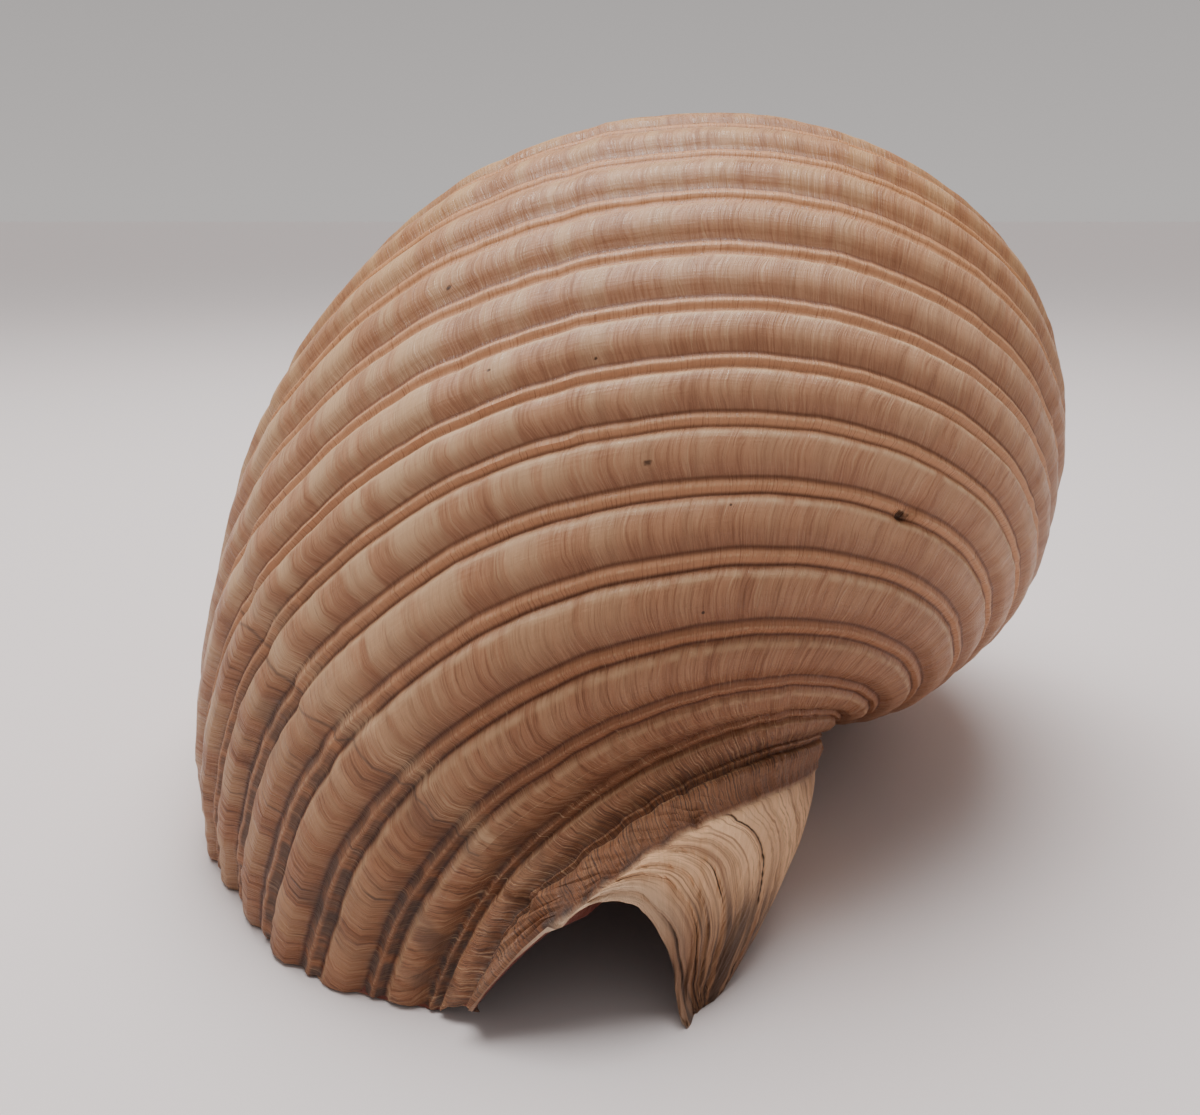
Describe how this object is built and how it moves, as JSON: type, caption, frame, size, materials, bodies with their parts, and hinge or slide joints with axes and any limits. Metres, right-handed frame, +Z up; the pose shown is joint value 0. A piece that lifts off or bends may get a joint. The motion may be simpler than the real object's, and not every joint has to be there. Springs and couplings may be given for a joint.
{
  "type": "tun shell",
  "caption": "Large thin-walled tun shell with broad spiral ribs, a low spire, a wide open aperture and a siphonal notch, resting on its lip and columella.",
  "frame": {"origin": "on the surface the shell rests on, under the middle of its bounding box", "axes": "+Z up; +Y from the siphonal notch towards the spire, which leans to +X; the aperture faces down and the outer lip is on the -X side"},
  "size_m": [0.1624, 0.1787, 0.1202],
  "materials": {
    "shell": "natural satin shell, tan-brown ribs with pale streaks and dark reddish grooves"
  },
  "bodies": {
    "root": {"shell": "shell"}
  },
  "joints": []
}
